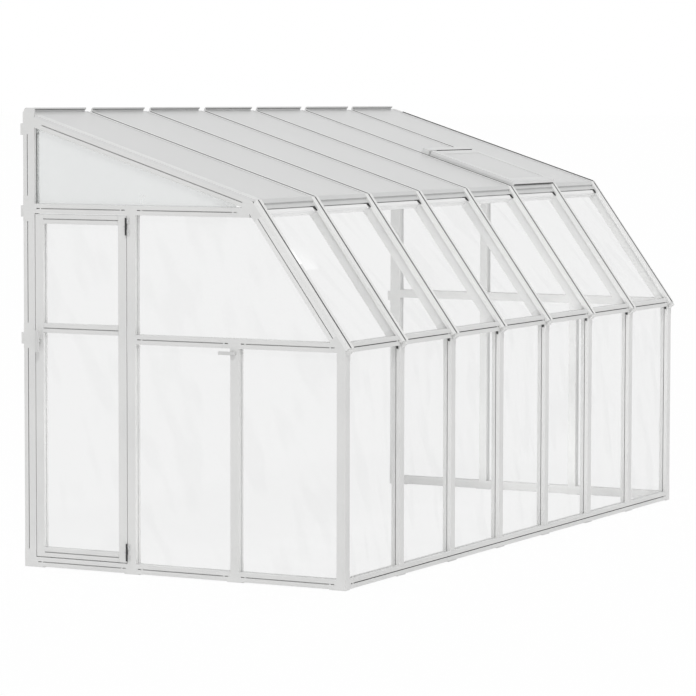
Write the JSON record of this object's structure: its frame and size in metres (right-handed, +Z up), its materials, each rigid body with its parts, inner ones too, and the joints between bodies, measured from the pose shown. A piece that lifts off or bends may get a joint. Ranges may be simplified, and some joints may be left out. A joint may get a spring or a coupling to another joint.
{
  "type": "lean-to garden sunroom",
  "caption": "Lean-to garden sunroom of hollow resin bars with clear panes, a slanted eave, a twin-wall roof with a hinged vent, and a glazed door in one end.",
  "frame": {"origin": "centre of the ground fixing holes, at ground level", "axes": "+X along the house wall with the door end at -X, +Y towards the house, +Z up"},
  "size_m": [4.352, 1.9433, 2.408],
  "materials": {
    "frame_resin": "satin off-white resin extrusion",
    "clear_pane": "clear acrylic sheet",
    "twin_wall": "hazy twin-wall sheet",
    "bare_metal": "mill finish",
    "gasket_rubber": "black extruded seal",
    "handle_plastic": "moulded light grey"
  },
  "bodies": {
    "frame": {"base_connectors": "frame_resin", "base_feet": "frame_resin", "base_rail_front": "frame_resin", "base_rail_left": "frame_resin", "base_rail_right": "frame_resin", "door_hinges": "handle_plastic", "door_post": "frame_resin", "eave_connectors": "frame_resin", "eave_rail": "frame_resin", "end_connectors": "frame_resin", "front_panes": "clear_pane", "front_post_1": "frame_resin", "front_post_2": "frame_resin", "front_post_3": "frame_resin", "front_post_4": "frame_resin", "front_post_5": "frame_resin", "front_post_6": "frame_resin", "front_post_7": "frame_resin", "front_post_8": "frame_resin", "gable_panels": "twin_wall", "head_rail_left": "frame_resin", "head_rail_right": "frame_resin", "inner_post": "frame_resin", "knee_connectors": "frame_resin", "knee_rail": "frame_resin", "left_end_panes": "clear_pane", "mid_post_left": "frame_resin", "mid_post_right": "frame_resin", "mid_rail_left": "frame_resin", "mid_rail_right": "frame_resin", "right_end_panes": "clear_pane", "roof_glazing_bars": "frame_resin", "roof_panels": "twin_wall", "roof_rafters": "frame_resin", "slant_caps": "frame_resin", "slant_panes": "clear_pane", "slant_rafter_1": "frame_resin", "slant_rafter_2": "frame_resin", "slant_rafter_3": "frame_resin", "slant_rafter_4": "frame_resin", "slant_rafter_5": "frame_resin", "slant_rafter_6": "frame_resin", "slant_rafter_7": "frame_resin", "slant_rafter_8": "frame_resin", "vent_header": "frame_resin", "wall_connectors": "frame_resin", "wall_flashing": "frame_resin", "wall_plate": "frame_resin", "wall_post_left": "frame_resin", "wall_post_right": "frame_resin", "wall_spacers": "frame_resin"},
    "door": {"door_hinge_stile": "frame_resin", "door_latch_stile": "frame_resin", "door_rails": "frame_resin", "door_panes": "clear_pane"},
    "handle": {"door_handle": "handle_plastic"},
    "holder": {"door_holder": "handle_plastic"},
    "vent": {"vent_sash": "frame_resin", "vent_panel": "twin_wall"},
    "stay": {"vent_stay": "bare_metal"}
  },
  "joints": [
    {"name": "door_swing", "type": "hinge", "parent": "frame", "child": "door", "pos_m": [-2.167, 0.3325, 0.95], "axis": [0, 0, 1], "range_deg": [0, 170]},
    {"name": "door_handle_turn", "type": "hinge", "parent": "door", "child": "handle", "pos_m": [-2.16, 0.862, 1.192], "axis": [1, 0, 0], "range_deg": [0, 90]},
    {"name": "door_holder_turn", "type": "hinge", "parent": "frame", "child": "holder", "pos_m": [-2.16, -0.304, 1.17], "axis": [-1, 0, 0], "range_deg": [0, 90]},
    {"name": "vent_swing", "type": "hinge", "parent": "frame", "child": "vent", "pos_m": [1.22, 0.10342, 2.14025], "axis": [-1, 0, 0], "range_deg": [0, 30]},
    {"name": "vent_stay_swing", "type": "hinge", "parent": "vent", "child": "stay", "pos_m": [1.22, -0.361, 1.96736], "axis": [-1, 0, 0], "range_deg": [0, 80]}
  ]
}
